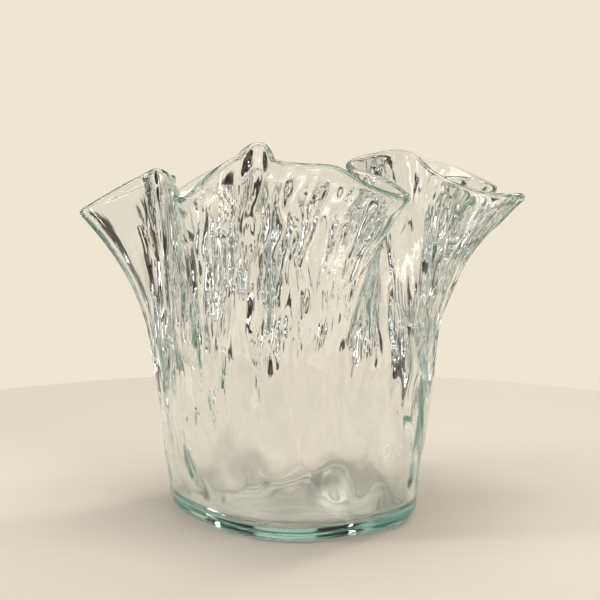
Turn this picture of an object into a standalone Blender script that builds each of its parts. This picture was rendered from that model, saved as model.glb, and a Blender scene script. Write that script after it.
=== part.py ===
# A hand-formed glass vase: a rounded-square cup whose wall flares into a deeply folded rim.
# It is one piece of glass. Lengths are in metres and angles in degrees, with +Z up.
# The origin is on the table, under the middle of the foot, and the viewer stands at -Y.

import math

import bmesh
import bpy
import numpy as np
from mathutils import Vector
from mathutils.geometry import interpolate_bezier

# Foot and cup, measured over the outside of the glass. The foot's width and length are those
# of its outline on the table, before its edge is rounded in.
FOOT_WIDTH = 0.114
FOOT_LENGTH = 0.137
FOOT_SQUARENESS = 3.0  # 2 is an oval foot, and a higher value has tighter corners
FOOT_TURN = 33.0
FOOT_EDGE_HEIGHT = 0.012
FOOT_EDGE_INSET = 0.006
SHOULDER_WIDTH = 0.152
SHOULDER_HEIGHT = 0.095
SHOULDER_SHIFT = 0.0017  # the hand-made cup leans a little towards +X

# Thickness of the glass
BASE_THICKNESS = 0.007
WALL_THICKNESS = 0.0042
RIM_THICKNESS = 0.0040
FLOOR_FILLET = 0.006

# Flare and rim
VASE_HEIGHT = 0.210
FLARE_START_HEIGHT = 0.040
FLARE_CURVE = 3.0  # 1 is a straight cone, and a higher value keeps the flare near the rim
# The rim's middle line passes through these points. Each has its turn round the axis, its
# reach from the axis and its drop below the highest fold. Tips reach out and hang low, and
# folds pull in and stand high.
RIM_POINTS = (
    (-176, 0.113, 0.041),  # left tip
    (-166, 0.098, 0.029),
    (-157, 0.086, 0.020),
    (-160, 0.075, 0.017),  # first fold
    (-143, 0.077, 0.023),
    (-124, 0.097, 0.026),  # narrow front tip
    (-116, 0.089, 0.013),
    (-111, 0.077, 0.006),
    (-105, 0.062, 0.000),  # highest fold, pinched
    (-96, 0.074, 0.007),
    (-87, 0.090, 0.008),  # wide front lobe
    (-77, 0.100, 0.009),
    (-69, 0.111, 0.018),
    (-58, 0.110, 0.024),  # front right tip
    (-51, 0.079, 0.019),
    (-52, 0.051, 0.013),  # deep fold behind the front right tip
    (-31, 0.051, 0.009),
    (-12, 0.065, 0.009),  # high fold on the right
    (-19, 0.082, 0.019),
    (-17, 0.102, 0.028),
    (-4, 0.126, 0.032),  # right tip
    (7, 0.108, 0.033),
    (17, 0.090, 0.027),  # fold between the right tips
    (21, 0.108, 0.028),
    (24, 0.127, 0.034),  # back right tip
    (33, 0.129, 0.031),
    (42, 0.124, 0.025),
    (51, 0.096, 0.018),  # back right fold
    (65, 0.106, 0.024),
    (82, 0.113, 0.038),  # back tip
    (96, 0.099, 0.028),
    (108, 0.080, 0.020),  # back fold
    (117, 0.101, 0.028),
    (130, 0.123, 0.046),  # back left tip
    (140, 0.107, 0.036),
    (148, 0.080, 0.027),  # left fold
    (166, 0.091, 0.034),
)

# Fineness of the mesh
COLUMNS_PER_POINT = 3
WALL_ROWS = 16
ROW_SPREAD = 0.85  # 1 spaces the rows evenly, and a lower value crowds them towards the rim
ROUNDING_STEPS = 4
SHARP_ANGLE = 50.0

GLASS_COLOUR = (0.80, 0.93, 0.90, 1.0)
GLASS_ROUGHNESS = 0.02
GLASS_IOR = 1.5


def remove_old_objects():
    for old in list(bpy.data.objects):
        bpy.data.objects.remove(old, do_unlink=True)


# The rim's middle line, as a smooth closed curve through the rim points
def rim_line():
    top = VASE_HEIGHT - RIM_THICKNESS / 2
    knots = []
    for turn, reach, drop in RIM_POINTS:
        angle = math.radians(turn)
        knots.append(Vector((reach * math.cos(angle), reach * math.sin(angle), top - drop)))
    following = knots[1:] + knots[:1]
    before = knots[-1:] + knots[:-1]
    headings = [(later - earlier).normalized() for later, earlier in zip(following, before)]
    line = []
    for knot, end, heading, end_heading in zip(
        knots, following, headings, headings[1:] + headings[:1]
    ):
        pull = (end - knot).length / 3
        handles = (knot + heading * pull, end - end_heading * pull)
        line += interpolate_bezier(knot, *handles, end, COLUMNS_PER_POINT + 1)[:-1]
    return np.array(line)


# How far round the cup each point of the rim comes from. The folded rim was a plain round
# edge once, so equal lengths of rim come from equal turns of the cup.
def turns_of(rim):
    lengths = np.linalg.norm(np.roll(rim, -1, axis=0) - rim, axis=1)
    before = np.concatenate(([0], np.cumsum(lengths)[:-1]))
    return math.radians(RIM_POINTS[0][0]) + 2 * math.pi * before / lengths.sum()


# Distance from the axis to the foot's outline, a square with soft corners and bulging sides.
# The outline is drawn in from the outer skin to the middle of the wall.
def foot_reach(turns):
    turned = turns - math.radians(FOOT_TURN)
    across = np.abs(np.cos(turned)) / (FOOT_WIDTH - WALL_THICKNESS) * 2
    along = np.abs(np.sin(turned)) / (FOOT_LENGTH - WALL_THICKNESS) * 2
    return (across**FOOT_SQUARENESS + along**FOOT_SQUARENESS) ** (-1 / FOOT_SQUARENESS)


# The middle surface of the wall, a row of points for each share of the way up. The cup is a
# soft square at the foot and round at the shoulder, and then it follows the rim's folds.
def middle_surface(rim, turns, start_height, shares):
    rows = []
    directions = np.stack([np.cos(turns), np.sin(turns)], axis=1)
    foot = directions * foot_reach(turns)[:, None]
    shoulder = directions * (SHOULDER_WIDTH - WALL_THICKNESS) / 2 + (SHOULDER_SHIFT, 0)
    for share in shares:
        heights = start_height + (rim[:, 2] - start_height) * share
        below_shoulder = np.clip(1 - heights / SHOULDER_HEIGHT, 0, 1)[:, None]
        cup = shoulder + (foot - shoulder) * below_shoulder**2
        climb = (heights - FLARE_START_HEIGHT) / (rim[:, 2] - FLARE_START_HEIGHT)
        flare = (np.clip(climb, 0, 1) ** FLARE_CURVE)[:, None]
        plan = cup + (rim[:, :2] - cup) * flare
        rows.append(np.column_stack([plan, heights]))
    return np.array(rows)


# Unit vectors out of the wall and up along it
def wall_vectors(surface):
    around = np.roll(surface, -1, axis=1) - np.roll(surface, 1, axis=1)
    upward = np.gradient(surface, axis=0)
    outward = np.cross(around, upward)
    outward /= np.linalg.norm(outward, axis=2)[:, :, None]
    upward /= np.linalg.norm(upward, axis=2)[:, :, None]
    return outward, upward


# The wall's outer skin (side 1) or inner skin (side -1), from the start height to the rim
def wall_skin(rim, turns, start_height, side):
    shares = np.linspace(0, 1, WALL_ROWS) ** ROW_SPREAD
    surface = middle_surface(rim, turns, start_height, shares)
    outward, upward = wall_vectors(surface)
    thickness = WALL_THICKNESS + (RIM_THICKNESS - WALL_THICKNESS) * shares
    rows = surface + side * outward * thickness[:, None, None] / 2
    return rows, surface[-1], outward[-1], upward[-1]


# Rings of a rounded corner that runs from the wall's end down to a flat face
def corner_rings(ring, inset, face_height):
    rings = []
    reach = np.linalg.norm(ring[:, :2], axis=1)[:, None]
    for step in range(1, ROUNDING_STEPS + 1):
        angle = math.pi / 2 * step / ROUNDING_STEPS
        drawn_in = ring[:, :2] * (1 - inset * (1 - math.cos(angle)) / reach)
        heights = ring[:, 2] - (ring[:, 2] - face_height) * math.sin(angle)
        rings.append(np.column_stack([drawn_in, heights]))
    return rings


# Rings of the half-round edge, from the outer skin over to the inner one
def edge_rings(line, outward, upward):
    rings = []
    for step in range(1, ROUNDING_STEPS):
        angle = math.pi * step / ROUNDING_STEPS
        across = outward * math.cos(angle) + upward * math.sin(angle)
        rings.append(line + across * RIM_THICKNESS / 2)
    return rings


# One closed skin through rings of points, with flat caps at both ends
def loft(name, rings):
    mesh = bmesh.new()
    loops = [[mesh.verts.new(point) for point in ring] for ring in rings]
    for lower, upper in zip(loops, loops[1:]):
        for i, corner in enumerate(lower):
            mesh.faces.new((lower[i - 1], corner, upper[i], upper[i - 1]))
    mesh.faces.new(reversed(loops[0]))
    mesh.faces.new(loops[-1])
    data = bpy.data.meshes.new(name)
    mesh.to_mesh(data)
    mesh.free()
    data.shade_smooth()
    data.set_sharp_from_angle(angle=math.radians(SHARP_ANGLE))
    return data


def clear_glass():
    glass = bpy.data.materials.new("pale aqua glass")
    glass.use_nodes = True
    shader = glass.node_tree.nodes["Principled BSDF"]
    shader.inputs["Base Color"].default_value = GLASS_COLOUR
    shader.inputs["Roughness"].default_value = GLASS_ROUGHNESS
    shader.inputs["IOR"].default_value = GLASS_IOR
    shader.inputs["Transmission Weight"].default_value = 1.0
    glass.diffuse_color = GLASS_COLOUR
    return glass


def glass_vase():
    rim = rim_line()
    turns = turns_of(rim)
    outer, line, outward, upward = wall_skin(rim, turns, FOOT_EDGE_HEIGHT, 1)
    foot = corner_rings(outer[0], FOOT_EDGE_INSET, 0)
    inner = wall_skin(rim, turns, BASE_THICKNESS + FLOOR_FILLET, -1)[0]
    floor = corner_rings(inner[0], FLOOR_FILLET, BASE_THICKNESS)
    rings = [*foot[::-1], *outer, *edge_rings(line, outward, upward), *inner[::-1], *floor]
    vase = bpy.data.objects.new("glass_vase", loft("glass_vase", rings))
    vase.data.materials.append(clear_glass())
    bpy.context.collection.objects.link(vase)
    return vase


remove_old_objects()
glass_vase()
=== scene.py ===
import math

import bmesh
import bpy
import numpy as np
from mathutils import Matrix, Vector, noise
from mathutils.geometry import interpolate_bezier


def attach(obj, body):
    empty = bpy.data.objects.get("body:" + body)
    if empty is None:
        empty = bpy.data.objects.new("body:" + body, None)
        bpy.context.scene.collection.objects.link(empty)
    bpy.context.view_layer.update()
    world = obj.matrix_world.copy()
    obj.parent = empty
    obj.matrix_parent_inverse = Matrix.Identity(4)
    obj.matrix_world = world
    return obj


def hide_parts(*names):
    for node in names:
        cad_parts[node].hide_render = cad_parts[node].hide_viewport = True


# The looks of a hand-formed glass vase with a deeply folded rim.
# Metres, +Z up, the foot's middle at the origin, the viewer at -Y.

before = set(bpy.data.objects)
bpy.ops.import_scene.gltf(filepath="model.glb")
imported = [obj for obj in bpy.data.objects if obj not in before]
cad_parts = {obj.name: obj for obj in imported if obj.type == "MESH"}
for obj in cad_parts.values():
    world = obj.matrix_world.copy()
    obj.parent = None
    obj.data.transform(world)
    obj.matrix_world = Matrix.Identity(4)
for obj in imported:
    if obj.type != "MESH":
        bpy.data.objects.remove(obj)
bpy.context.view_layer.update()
print("frame loaded, nodes:", *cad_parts)


# Helpers

def hexColour(text):
    # sRGB hex to the linear values that shaders take
    channels = [int(text[i:i + 2], 16) / 255 for i in (1, 3, 5)]
    linear = [c / 12.92 if c <= 0.04045 else ((c + 0.055) / 1.055) ** 2.4 for c in channels]
    return (*linear, 1.0)


def addNode(tree, kind, inputs=None, **settings):
    # one node with its settings; inputs maps a socket's name or number to a link or a value
    node = tree.nodes.new(kind)
    for name, value in settings.items():
        setattr(node, name, value)
    for name, value in (inputs or {}).items():
        if isinstance(value, bpy.types.NodeSocket):
            tree.links.new(value, node.inputs[name])
        else:
            node.inputs[name].default_value = value
    return node


def newMaterial(name):
    material = bpy.data.materials.new(name)
    material.use_nodes = True
    material.node_tree.nodes.clear()
    return material, material.node_tree


def smoothStep(values, low, high):
    share = np.clip((values - low) / (high - low), 0, 1)
    return share * share * (3 - 2 * share)


# The vase: a plain turned cup, folded ring by ring into the hand-formed shape

vase = {
    "footWidth": 0.114,
    "footLength": 0.137,
    "footSquareness": 3.0,
    "footTurn": 33.0,
    "footEdgeHeight": 0.012,
    "footEdgeInset": 0.006,
    "shoulderWidth": 0.152,
    "shoulderHeight": 0.095,
    "shoulderShift": 0.0017,
    "baseThickness": 0.007,
    "floorFillet": 0.006,
    "wallThickness": 0.0042,
    "rimThickness": 0.0040,
    "rimTrim": 0.0005,  # keeps the finer, rounder rim inside the solid's box
    "height": 0.210,
    "flareStart": 0.040,
    "flareCurve": 3.0,
    # turn in degrees, reach from the axis and drop below the highest fold, both in metres
    "rimPoints": (
        (-176, 0.113, 0.041), (-166, 0.098, 0.029), (-157, 0.086, 0.020),  # left tip
        (-160, 0.075, 0.017), (-143, 0.077, 0.023),  # first fold
        (-124, 0.097, 0.026), (-116, 0.089, 0.013), (-111, 0.077, 0.006),  # narrow front tip
        (-105, 0.062, 0.000), (-96, 0.074, 0.007),  # highest fold, pinched
        (-87, 0.090, 0.008), (-77, 0.100, 0.009), (-69, 0.111, 0.018),  # wide front lobe
        (-58, 0.110, 0.024), (-51, 0.079, 0.019),  # front right tip
        (-52, 0.051, 0.013), (-31, 0.051, 0.009),  # deep fold behind it
        (-12, 0.065, 0.009), (-19, 0.082, 0.019), (-17, 0.102, 0.028),  # high fold on the right
        (-4, 0.126, 0.032), (7, 0.108, 0.033),  # right tip
        (17, 0.090, 0.027), (21, 0.108, 0.028),  # fold between the right tips
        (24, 0.127, 0.034), (33, 0.129, 0.031), (42, 0.124, 0.025),  # back right tip
        (51, 0.096, 0.018), (65, 0.106, 0.024),  # back right fold
        (82, 0.113, 0.038), (96, 0.099, 0.028),  # back tip
        (108, 0.080, 0.020), (117, 0.101, 0.028),  # back fold
        (130, 0.123, 0.046), (140, 0.107, 0.036),  # back left tip
        (148, 0.080, 0.027), (166, 0.091, 0.034),  # left fold
    ),
    # how wrinkled the wall is below each rim point, in the same order
    "wrinkling": (
        0.05, 0.08, 0.12, 0.35, 0.70, 0.90, 1.00, 1.00, 1.00, 1.00, 0.80, 0.65, 0.70, 0.80, 0.65,
        0.30, 0.12, 0.10, 0.15, 0.45, 0.80, 0.75, 0.60, 0.45, 0.35, 0.30, 0.30, 0.35, 0.30, 0.25,
        0.30, 0.40, 0.35, 0.30, 0.25, 0.30, 0.10,
    ),
    # fineness: columns for each rim point, and rows
    "columnsPerPoint": 12,
    "wallRows": 84,
    "rowSpread": 0.9,  # 1 spaces the rows evenly, and a lower value crowds them towards the rim
    "roundingRows": 8,
    "floorRows": 12,
    # the plain section that is spun before it is folded
    "sectionRadius": 0.5,
    "sectionStep": 0.001,
    "mergeDistance": 0.000001,  # joins the points in the middle of the two discs
}

# Unevenness of the hand-formed wall: depth, and length around and up the wall, in metres.
# Each kind comes in between two shares of the way up the wall.
ripples = {
    "waves": {"depth": 0.0028, "around": 0.026, "up": 0.070, "from": (0.0, 0.12), "seed": 0},
    "lenses": {"depth": 0.0009, "around": 0.011, "up": 0.034, "from": (0.75, 0.35), "seed": 5},
    "pleats": {"depth": 0.0018, "around": 0.0052, "up": 0.060, "from": (0.22, 0.75), "seed": 11},
    "wrinkles": {"depth": 0.0009, "around": 0.0034, "up": 0.014, "from": (0.42, 0.82), "seed": 23},
    # patches are more or less wrinkled, and start higher or lower
    "patches": {"depth": 1.0, "around": 0.0085, "up": 0.042, "seed": 3,
                "shift": 0.35, "least": 0.08, "from": (-0.10, 0.32)},
    # the waves are weaker on a calm lobe, and all of it fades at the rim
    "calmLobe": {"share": 0.85, "from": (0.25, 0.6)},
    "rim": {"share": 0.85, "from": (0.94, 1.0)},
    "bend": {"depth": 0.004, "size": 0.022, "seed": 1},
    "floorRings": {"depth": 0.0003, "spacing": 0.016},
    "outerSeed": 8,
    "innerSeed": 2,
}


def rimLine():
    # the rim's middle line, a smooth closed curve through the rim points
    top = vase["height"] - vase["rimThickness"] / 2
    knots = []
    for turn, reach, drop in vase["rimPoints"]:
        angle = math.radians(turn)
        reach -= vase["rimTrim"]
        knots.append(Vector((reach * math.cos(angle), reach * math.sin(angle), top - drop)))
    following = knots[1:] + knots[:1]
    headings = [(b - a).normalized() for a, b in zip(knots[-1:] + knots[:-1], following)]
    line = []
    for i, (knot, end) in enumerate(zip(knots, following)):
        pull = (end - knot).length / 3
        handles = (knot + headings[i] * pull, end - headings[(i + 1) % len(knots)] * pull)
        line += interpolate_bezier(knot, *handles, end, vase["columnsPerPoint"] + 1)[:-1]
    return np.array(line)


def cupTurns(rim):
    # equal lengths of the folded rim come from equal turns of the plain cup
    lengths = np.linalg.norm(np.roll(rim, -1, axis=0) - rim, axis=1)
    before = np.concatenate(([0], np.cumsum(lengths)[:-1]))
    return math.radians(vase["rimPoints"][0][0]) + 2 * math.pi * before / lengths.sum()


def middleSurface(rim, turns, startHeight, shares):
    around = turns - math.radians(vase["footTurn"])
    power = vase["footSquareness"]
    across = np.abs(np.cos(around)) / (vase["footWidth"] - vase["wallThickness"]) * 2
    along = np.abs(np.sin(around)) / (vase["footLength"] - vase["wallThickness"]) * 2
    directions = np.stack([np.cos(turns), np.sin(turns)], axis=1)
    foot = directions * ((across**power + along**power) ** (-1 / power))[:, None]
    shoulderReach = (vase["shoulderWidth"] - vase["wallThickness"]) / 2
    shoulder = directions * shoulderReach + (vase["shoulderShift"], 0)
    rows = []
    for share in shares:
        heights = startHeight + (rim[:, 2] - startHeight) * share
        below = np.clip(1 - heights / vase["shoulderHeight"], 0, 1)[:, None]
        cup = shoulder + (foot - shoulder) * below**2
        climb = (heights - vase["flareStart"]) / (rim[:, 2] - vase["flareStart"])
        flare = (np.clip(climb, 0, 1) ** vase["flareCurve"])[:, None]
        rows.append(np.column_stack([cup + (rim[:, :2] - cup) * flare, heights]))
    return np.array(rows)


def wallVectors(surface):
    around = np.roll(surface, -1, axis=1) - np.roll(surface, 1, axis=1)
    upward = np.gradient(surface, axis=0)
    outward = np.cross(around, upward)
    outward /= np.linalg.norm(outward, axis=2)[:, :, None]
    upward /= np.linalg.norm(upward, axis=2)[:, :, None]
    return outward, upward


def plainPlaces(turns, shares, radius):
    # where each point of the wall lies on the plain, unfolded cup
    angles, climbs = np.meshgrid(turns, shares * vase["height"])
    return np.stack([radius * np.cos(angles), radius * np.sin(angles), climbs], axis=2)


def rippled(places, kind, skinSeed=0):
    # smooth noise, stretched up the wall; the seed moves it to another place in the noise
    ripple = ripples[kind]
    seed = ripple["seed"] + skinSeed
    scale = Vector((1 / ripple["around"], 1 / ripple["around"], 1 / ripple["up"]))
    offset = Vector((seed, seed * 0.7, seed * 1.3))
    flat = places.reshape(-1, 3).tolist()
    heights = [noise.noise(Vector(p) * scale + offset) for p in flat]
    return np.array(heights).reshape(places.shape[:2]) * ripple["depth"]


def bent(places):
    # the flow of the soft glass bends the wrinkles a little
    flat = places.reshape(-1, 3)
    pull = ripples["bend"]
    noise.seed_set(pull["seed"])
    scale = 1 / pull["size"]
    shifts = [noise.noise_vector(Vector(p) * scale) for p in flat.tolist()]
    return (flat + np.array(shifts) * pull["depth"]).reshape(places.shape)


def unevenness(turns, shares, skinSeed):
    # gentle waves low down, and pleats and chill wrinkles towards the rim, more on some lobes
    places = bent(plainPlaces(turns, shares, vase["shoulderWidth"] / 2))
    up = shares[:, None]
    columns = np.arange(len(turns)) / vase["columnsPerPoint"]
    points = np.arange(len(vase["wrinkling"]))
    lobes = np.interp(columns, points, vase["wrinkling"], period=len(points))[None, :]
    settled = smoothStep(up, *ripples["waves"]["from"])
    patch = ripples["patches"]
    patches = rippled(places, "patches")
    worked = up + patch["shift"] * patches
    wrinkled = smoothStep(worked, *ripples["wrinkles"]["from"])
    wrinkled *= patch["least"] + (1 - patch["least"]) * smoothStep(patches, *patch["from"])
    calm = ripples["calmLobe"]
    depth = rippled(places, "waves", skinSeed) * settled
    depth *= 1 - calm["share"] * (1 - lobes) * smoothStep(up, *calm["from"])
    low = settled * smoothStep(up, *ripples["lenses"]["from"])
    depth += rippled(places, "lenses", skinSeed) * low
    high = smoothStep(worked, *ripples["pleats"]["from"])
    depth += rippled(places, "pleats", skinSeed) * high * lobes
    depth += rippled(places, "wrinkles", skinSeed) * wrinkled * lobes
    fading = 1 - ripples["rim"]["share"] * smoothStep(up, *ripples["rim"]["from"])
    return depth * fading, wrinkled * lobes * fading


def cornerRings(ring, inset, faceHeight):
    rings = []
    reach = np.linalg.norm(ring[:, :2], axis=1)[:, None]
    for step in range(1, vase["roundingRows"] + 1):
        angle = math.pi / 2 * step / vase["roundingRows"]
        plan = ring[:, :2] * (1 - inset * (1 - math.cos(angle)) / reach)
        heights = ring[:, 2] - (ring[:, 2] - faceHeight) * math.sin(angle)
        rings.append(np.column_stack([plan, heights]))
    return rings


def discRings(edge, rippleDepth):
    # rings from the edge of a flat face to its middle, with faint rings left by the tool
    rings = []
    reach = np.linalg.norm(edge[:, :2], axis=1)
    for step in range(1, vase["floorRows"] + 1):
        share = 1 - step / vase["floorRows"]
        plan = edge[:, :2] * share
        swell = np.sin(2 * math.pi * reach * share / ripples["floorRings"]["spacing"])
        fade = math.sin(math.pi * share) if step < vase["floorRows"] else 0
        heights = edge[:, 2] + rippleDepth * swell * fade
        rings.append(np.column_stack([plan, heights]))
    return rings


def vaseRings():
    # every ring of the closed skin, from the middle of the underside round to the inner floor
    rim = rimLine()
    turns = cupTurns(rim)
    shares = np.linspace(0, 1, vase["wallRows"]) ** vase["rowSpread"]
    thickness = vase["wallThickness"] + (vase["rimThickness"] - vase["wallThickness"]) * shares
    skins = []
    masks = []
    starts = (vase["footEdgeHeight"], vase["baseThickness"] + vase["floorFillet"])
    seeds = (ripples["outerSeed"], ripples["innerSeed"])
    for side, startHeight, skinSeed in zip((1, -1), starts, seeds):
        surface = middleSurface(rim, turns, startHeight, shares)
        outward, upward = wallVectors(surface)
        relief, wrinkled = unevenness(turns, shares, skinSeed)
        depth = thickness[:, None] / 2 + relief
        skins.append(surface + side * outward * depth[:, :, None])
        masks.append(list(wrinkled))
    outer, inner = skins
    middle = (outer[-1] + inner[-1]) / 2
    half = (outer[-1] - inner[-1]) / 2
    halfSize = np.linalg.norm(half, axis=1)[:, None]
    edge = []
    for step in range(1, vase["roundingRows"]):
        angle = math.pi * step / vase["roundingRows"]
        edge.append(middle + half * math.cos(angle) + upward[-1] * halfSize * math.sin(angle))
    foot = cornerRings(outer[0], vase["footEdgeInset"], 0)
    floor = cornerRings(inner[0], vase["floorFillet"], vase["baseThickness"])
    underside = discRings(foot[-1], 0)
    top = discRings(floor[-1], ripples["floorRings"]["depth"])
    rings = [*underside[::-1], *foot[::-1], *outer, *edge, *inner[::-1], *floor, *top]
    plain = [np.zeros(len(turns))]
    wrinkled = [*plain * len(underside + foot), *masks[0], *masks[0][-1:] * len(edge),
                *masks[1][::-1], *plain * len(floor + top)]
    return rings, wrinkled, turns


def spunAndFolded(name, rings, wrinkled, turns):
    # spin a plain section, a point for each row, then move every vertex to its folded place
    mesh = bmesh.new()
    rowLayer = mesh.verts.layers.int.new("row")
    plainLayer = mesh.verts.layers.float_vector.new("plainCup")
    wrinkledLayer = mesh.verts.layers.float.new("wrinkled")
    section = []
    for row, ring in enumerate(rings):
        radius = vase["sectionRadius"] + vase["sectionStep"] * row
        vert = mesh.verts.new((radius, 0, ring[:, 2].mean()))
        vert[rowLayer] = row
        section.append(vert)
    edges = [mesh.edges.new(pair) for pair in zip(section, section[1:])]
    columns = len(turns)
    bmesh.ops.spin(mesh, geom=section + edges, cent=(0, 0, 0), axis=(0, 0, 1), dvec=(0, 0, 0),
                   angle=2 * math.pi, steps=columns, use_merge=True, use_duplicate=False)
    step = 2 * math.pi / columns
    for vert in mesh.verts:
        column = round(math.atan2(vert.co.y, vert.co.x) / step) % columns
        place = rings[vert[rowLayer]][column]
        vert.co = place
        vert[wrinkledLayer] = wrinkled[vert[rowLayer]][column]
        cupRadius = vase["shoulderWidth"] / 2
        if place[2] < vase["footEdgeHeight"]:
            cupRadius = math.hypot(place[0], place[1])
        vert[plainLayer] = (cupRadius * math.cos(turns[column]),
                            cupRadius * math.sin(turns[column]), place[2])
    bmesh.ops.remove_doubles(mesh, verts=mesh.verts, dist=vase["mergeDistance"])
    bmesh.ops.recalc_face_normals(mesh, faces=mesh.faces)
    data = bpy.data.meshes.new(name)
    mesh.to_mesh(data)
    mesh.free()
    data.shade_smooth()
    piece = bpy.data.objects.new(name, data)
    bpy.context.collection.objects.link(piece)
    return piece


# Blown soda-lime glass: clear, with iron's faint aqua that only shows where light runs a long
# way inside it, at the rim, the folds and the foot. The surface is fire-polished, so it is
# glossy, with chill marks and drawn marks towards the rim.

glass = {
    "ior": 1.51,
    "roughness": 0.012,
    "depthTint": hexColour("#9ACFC7"),
    "depthTintDensity": 9.0,  # for each metre of glass
    # width, length and bend of a mark on the plain cup, before its wall is drawn out
    "marks": {
        "chill": {"width": 0.0034, "length": 0.0190, "distortion": 1.6},
        "drawn": {"width": 0.0044, "length": 0.0500, "distortion": 0.7},
    },
    "markDetail": 0.5,
    "markRoughness": 0.4,
    "drawnShare": 0.68,
    "markDepth": 0.0076,
}


def blownGlass():
    material, tree = newMaterial("blown soda-lime glass, fire-polished")
    cup = addNode(tree, "ShaderNodeAttribute", attribute_name="plainCup")
    heights = []
    for mark in glass["marks"].values():
        across = 1 / mark["width"]
        stretched = addNode(tree, "ShaderNodeMapping", {
            0: cup.outputs["Vector"], "Scale": (across, across, 1 / mark["length"])})
        pattern = addNode(tree, "ShaderNodeTexNoise", {
            "Vector": stretched.outputs[0], "Scale": 1.0, "Detail": glass["markDetail"],
            "Roughness": glass["markRoughness"], "Distortion": mark["distortion"]})
        heights.append(pattern.outputs[0])
    together = addNode(tree, "ShaderNodeMix", {
        "Factor": glass["drawnShare"], 2: heights[0], 3: heights[1]}, data_type="FLOAT")
    wrinkled = addNode(tree, "ShaderNodeAttribute", attribute_name="wrinkled")
    bump = addNode(tree, "ShaderNodeBump", {
        "Height": together.outputs[0], "Distance": glass["markDepth"],
        "Strength": wrinkled.outputs["Fac"]})
    shader = addNode(tree, "ShaderNodeBsdfPrincipled", {
        "Base Color": (1, 1, 1, 1), "Transmission Weight": 1.0, "IOR": glass["ior"],
        "Roughness": glass["roughness"], "Normal": bump.outputs[0]})
    depth = addNode(tree, "ShaderNodeVolumeAbsorption", {
        "Color": glass["depthTint"], "Density": glass["depthTintDensity"]})
    addNode(tree, "ShaderNodeOutputMaterial", {
        "Surface": shader.outputs[0], "Volume": depth.outputs[0]})
    return material


glassVase = spunAndFolded("folded_glass_vase", *vaseRings())
glassVase.data.materials.append(blownGlass())
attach(glassVase, "root")
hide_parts("glass_vase")
print("vase folded:", len(glassVase.data.polygons), "faces")


# Floor, light and camera

# The floor is a slab of pale limestone, honed matt, with faint clouds.
floorLook = {
    "radius": 0.39,
    "segments": 96,
    "gap": 0.0003,  # under the foot, so that the two faces don't share a plane
    "pale": hexColour("#E4E0D8"),
    "dull": hexColour("#DED9D0"),
    "cloudsPerMetre": 9.0,
    "cloudDetail": 5.0,
    "roughness": 0.55,
}


def paleFloor():
    mesh = bmesh.new()
    bmesh.ops.create_circle(mesh, cap_ends=True, segments=floorLook["segments"],
                            radius=floorLook["radius"])
    data = bpy.data.meshes.new("floor")
    mesh.to_mesh(data)
    mesh.free()
    floor = bpy.data.objects.new("floor", data)
    floor.location.z = -floorLook["gap"]
    bpy.context.collection.objects.link(floor)
    material, tree = newMaterial("honed pale limestone")
    place = addNode(tree, "ShaderNodeTexCoord")
    cloud = addNode(tree, "ShaderNodeTexNoise", {
        "Vector": place.outputs["Object"], "Scale": floorLook["cloudsPerMetre"],
        "Detail": floorLook["cloudDetail"]})
    tone = addNode(tree, "ShaderNodeMix", {
        "Factor": cloud.outputs[0], 6: floorLook["dull"], 7: floorLook["pale"]},
        data_type="RGBA")
    shader = addNode(tree, "ShaderNodeBsdfPrincipled", {
        "Base Color": tone.outputs[2], "Roughness": floorLook["roughness"]})
    addNode(tree, "ShaderNodeOutputMaterial", {"Surface": shader.outputs[0]})
    data.materials.append(material)


# The surround is pale, and darker overhead and in upright columns beside each straight view.
# The dark parts draw the folds in the glass. Levels are heights on a sphere of radius 1.
surround = {
    "bands": ((0.30, "#EFE5D3"), (0.40, "#3A3026"), (0.70, "#3A3026"), (0.86, "#D6CCBC")),
    "columnColour": hexColour("#261C12"),
    "columnCount": 8.0,
    "columnEdge": (0.35, 0.0),  # cosines where a column begins and where it is full
    "columnsFadeAbove": (0.7, 0.4),
    "columnsFadeBelow": (-0.6, -0.35),
}


def studioWorld():
    world = bpy.data.worlds.new("studio")
    bpy.context.scene.world = world
    world.use_nodes = True
    tree = world.node_tree
    tree.nodes.clear()
    direction = addNode(tree, "ShaderNodeTexCoord")
    parts = addNode(tree, "ShaderNodeSeparateXYZ", {0: direction.outputs["Generated"]})
    bands = addNode(tree, "ShaderNodeValToRGB", {0: parts.outputs["Z"]})
    stops = bands.color_ramp.elements
    stops.remove(stops[1])
    lowest, *higher = surround["bands"]
    stops[0].position = lowest[0]
    stops[0].color = hexColour(lowest[1])
    for position, colour in higher:
        stops.new(position).color = hexColour(colour)
    azimuth = addNode(tree, "ShaderNodeMath", {
        0: parts.outputs["X"], 1: parts.outputs["Y"]}, operation="ARCTAN2")
    turned = addNode(tree, "ShaderNodeMath", {
        0: azimuth.outputs[0], 1: surround["columnCount"]}, operation="MULTIPLY")
    swing = addNode(tree, "ShaderNodeMath", {0: turned.outputs[0]}, operation="COSINE")
    column = addNode(tree, "ShaderNodeMapRange", {
        "Value": swing.outputs[0], "From Min": surround["columnEdge"][0],
        "From Max": surround["columnEdge"][1]}, interpolation_type="SMOOTHSTEP")
    shading = column
    for levels in (surround["columnsFadeAbove"], surround["columnsFadeBelow"]):
        fade = addNode(tree, "ShaderNodeMapRange", {
            "Value": parts.outputs["Z"], "From Min": levels[0], "From Max": levels[1]})
        shading = addNode(tree, "ShaderNodeMath", {
            0: shading.outputs[0], 1: fade.outputs[0]}, operation="MULTIPLY")
    shaded = addNode(tree, "ShaderNodeMix", {
        "Factor": shading.outputs[0], 6: bands.outputs[0], 7: surround["columnColour"]},
        data_type="RGBA")
    light = addNode(tree, "ShaderNodeBackground", {"Color": shaded.outputs[2]})
    addNode(tree, "ShaderNodeOutputWorld", {"Surface": light.outputs[0]})


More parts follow.
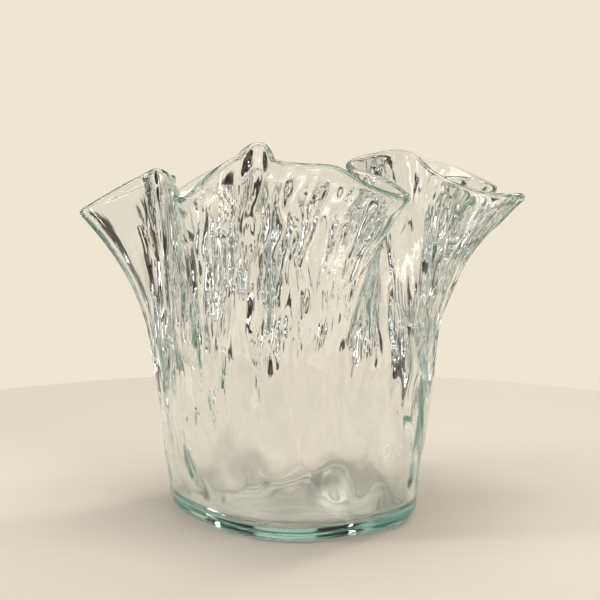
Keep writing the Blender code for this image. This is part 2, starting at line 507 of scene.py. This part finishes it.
# place and aim in metres, width and height in metres, power in watts, tint
softboxes = {
    "overhead": ((0, 0, 1.3), (0, 0, 0), (0.9, 0.9), 10, "#FFFBF5"),
    "backRight": ((0.9, 0.9, 1.1), (0, 0, 0.1), (0.3, 0.3), 6, "#FFF3E2"),
    "left": ((-1.3, -0.3, 0.9), (0, 0, 0.1), (0.2, 0.8), 5, "#FFFBF5"),
    "front": ((0.6, -1.4, 1.2), (0, 0, 0.1), (0.3, 0.3), 3, "#FFFFFF"),
    "rightStrip": ((0.68, 1.4, 0.15), (0, 0, 0.15), (0.05, 0.9), 1.1, "#FFFFFF"),
    "leftStrip": ((-0.64, 1.4, 0.15), (0, 0, 0.15), (0.05, 0.9), 1.1, "#FFFFFF"),
}


def softbox(name, place, aim, size, power, tint):
    lamp = bpy.data.lights.new(name, "AREA")
    lamp.shape = "RECTANGLE"
    lamp.size, lamp.size_y = size
    lamp.energy = power
    lamp.color = hexColour(tint)[:3]
    box = bpy.data.objects.new(name, lamp)
    box.location = place
    box.rotation_euler = (Vector(aim) - Vector(place)).to_track_quat("-Z", "Y").to_euler()
    box.visible_camera = False
    bpy.context.collection.objects.link(box)


camera = {
    "distance": 1.10,
    "height": 0.295,
    "aimHeight": 0.118,
    "sideways": 0.005,
    "lens": 121.5,
    "sensorWidth": 36.0,
    "nearest": 0.05,
    "farthest": 100.0,
    "bounces": 512,  # light runs a long way inside the rim and the foot before it leaves
}


def photoCamera():
    lens = bpy.data.cameras.new("camera")
    lens.lens = camera["lens"]
    lens.sensor_width = camera["sensorWidth"]
    lens.clip_start = camera["nearest"]
    lens.clip_end = camera["farthest"]
    view = bpy.data.objects.new("camera", lens)
    pitch = math.atan2(camera["height"] - camera["aimHeight"], camera["distance"])
    view.location = (camera["sideways"], -camera["distance"], camera["height"])
    view.rotation_euler = (math.pi / 2 - pitch, 0, 0)
    bpy.context.collection.objects.link(view)
    scene = bpy.context.scene
    scene.camera = view
    scene.view_settings.view_transform = "Standard"
    scene.cycles.max_bounces = camera["bounces"]
    scene.cycles.transmission_bounces = camera["bounces"]
    scene.cycles.glossy_bounces = camera["bounces"]


paleFloor()
studioWorld()
for name, settings in softboxes.items():
    softbox(name, *settings)
photoCamera()
print("studio set")
